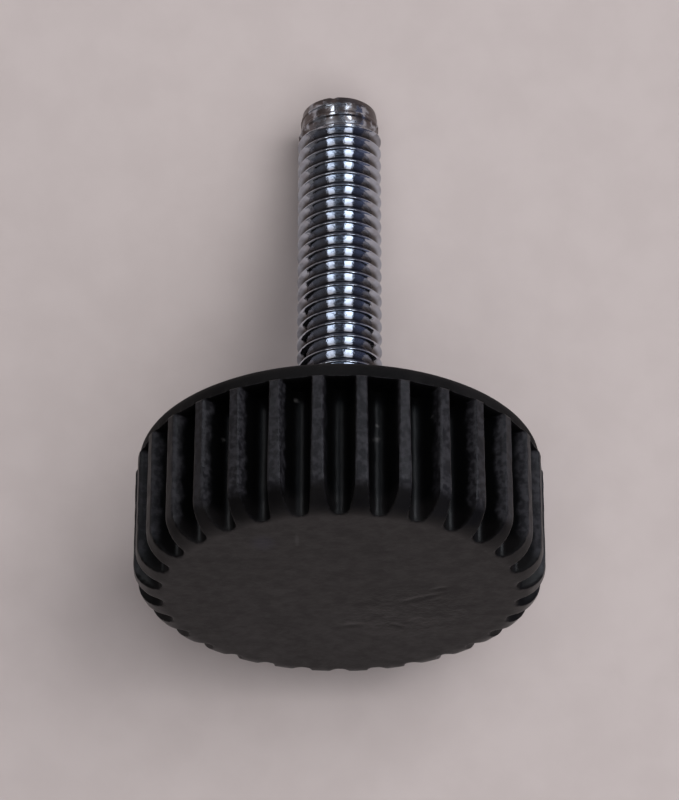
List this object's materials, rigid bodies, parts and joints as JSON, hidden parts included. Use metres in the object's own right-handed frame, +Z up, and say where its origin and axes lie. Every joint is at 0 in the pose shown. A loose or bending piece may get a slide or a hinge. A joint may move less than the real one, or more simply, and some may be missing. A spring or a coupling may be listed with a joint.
{
  "type": "thumb screw",
  "caption": "Thumb screw with a round black fluted plastic head, moulded on to a zinc-plated M6 steel stud, lying on its side.",
  "frame": {"origin": "on the surface the screw lies on, under the middle of its box", "axes": "+Z up, +Y along the floor from the head towards the tip of the stud, +X across the head; the stud leans down 21.24 degrees towards its tip"},
  "size_m": [0.0274, 0.0402, 0.0283],
  "materials": {
    "black_moulding": "matte black moulding, scuffed, with a little dust in the flutes",
    "zinc_steel": "bright blue-white zinc plating, worn brown-grey at the tip"
  },
  "bodies": {
    "root": {"knob": "black_moulding", "stud": "zinc_steel"}
  },
  "joints": []
}
